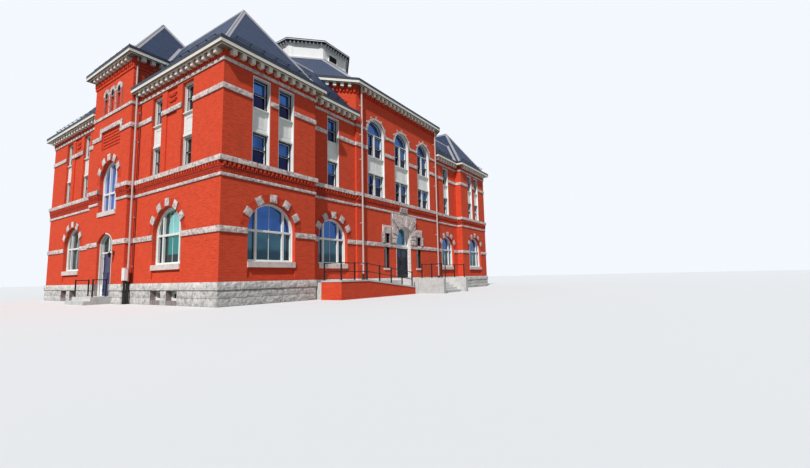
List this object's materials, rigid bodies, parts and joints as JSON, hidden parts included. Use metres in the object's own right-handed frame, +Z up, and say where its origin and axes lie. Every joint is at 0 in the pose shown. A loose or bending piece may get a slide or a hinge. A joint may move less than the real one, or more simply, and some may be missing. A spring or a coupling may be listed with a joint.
{
  "type": "town hall building",
  "caption": "Brick town hall of three storeys with granite trim, slate roofs, stair tower, octagonal lantern, ramp and hinged entrance doors.",
  "frame": {"origin": "centre of the bounding box at the level of the lowest ground", "axes": "+X along the main front to the right seen from in front, +Y to the rear, +Z up"},
  "size_m": [31.54, 25.65, 22.2],
  "materials": {
    "granite": "rock faced",
    "floor_slab": "matte",
    "brick": "matte",
    "painted_wood": "painted satin",
    "gutter_metal": "satin",
    "slate": "satin",
    "window_glass": "gloss",
    "panel_paint": "satin",
    "dark_door_paint": "satin",
    "navy_door_paint": "satin",
    "pipe_paint": "satin",
    "rail_paint": "satin"
  },
  "bodies": {
    "building": {"foundation": "granite", "water_table": "granite", "tower_base": "granite", "basement_floor": "floor_slab", "stair_floor": "floor_slab", "main_floor": "floor_slab", "second_floor": "floor_slab", "third_floor": "floor_slab", "attic_floor": "floor_slab", "hall_ceiling": "floor_slab", "pavilion_walls": "brick", "link_walls": "brick", "bay_wall_left": "brick", "bay_wall_right": "brick", "bay_wall_over": "brick", "rear_bay_wall": "brick", "west_walls": "brick", "tower_wall_beside": "brick", "tower_wall_over": "brick", "tower_upper_walls": "brick", "east_wall": "brick", "hall_upper_walls": "brick", "granite_bands": "granite", "string_course": "granite", "arch_stones": "granite", "window_sills": "granite", "portal_surround": "granite", "brick_courses": "brick", "cornice_blocks": "painted_wood", "cornice_boards": "painted_wood", "hall_cornice_boards": "painted_wood", "gutters": "gutter_metal", "wing_roofs": "slate", "link_roofs": "slate", "hall_roof": "slate", "tower_roof": "slate", "lantern_walls": "painted_wood", "lantern_posts": "painted_wood", "lantern_roof": "slate", "lower_frames": "painted_wood", "upper_frames": "painted_wood", "lower_glass": "window_glass", "upper_glass": "window_glass", "spandrel_panels": "panel_paint", "entrance_frame": "painted_wood", "side_door_frame": "painted_wood", "downspouts": "pipe_paint", "ramp": "floor_slab", "ramp_walls": "brick", "ramp_caps": "granite", "landing": "floor_slab", "front_steps": "granite", "cheek_walls": "granite", "railings": "rail_paint", "side_stoop": "granite"},
    "front_door_left": {"front_door_left": "dark_door_paint"},
    "front_door_right": {"front_door_right": "dark_door_paint"},
    "side_door_left": {"side_door_left": "navy_door_paint"},
    "side_door_right": {"side_door_right": "navy_door_paint"}
  },
  "joints": [
    {"name": "front_door_left_hinge", "type": "hinge", "parent": "building", "child": "front_door_left", "pos_m": [-0.295, -8.375, 1.07], "axis": [0, 0, -1], "range_deg": [0, 90]},
    {"name": "front_door_right_hinge", "type": "hinge", "parent": "building", "child": "front_door_right", "pos_m": [1.435, -8.375, 1.07], "axis": [0, 0, 1], "range_deg": [0, 90]},
    {"name": "side_door_left_hinge", "type": "hinge", "parent": "building", "child": "side_door_left", "pos_m": [-14.31, 2.29, 0.41], "axis": [0, 0, -1], "range_deg": [0, 90]},
    {"name": "side_door_right_hinge", "type": "hinge", "parent": "building", "child": "side_door_right", "pos_m": [-14.31, 0.76, 0.41], "axis": [0, 0, 1], "range_deg": [0, 90]}
  ]
}
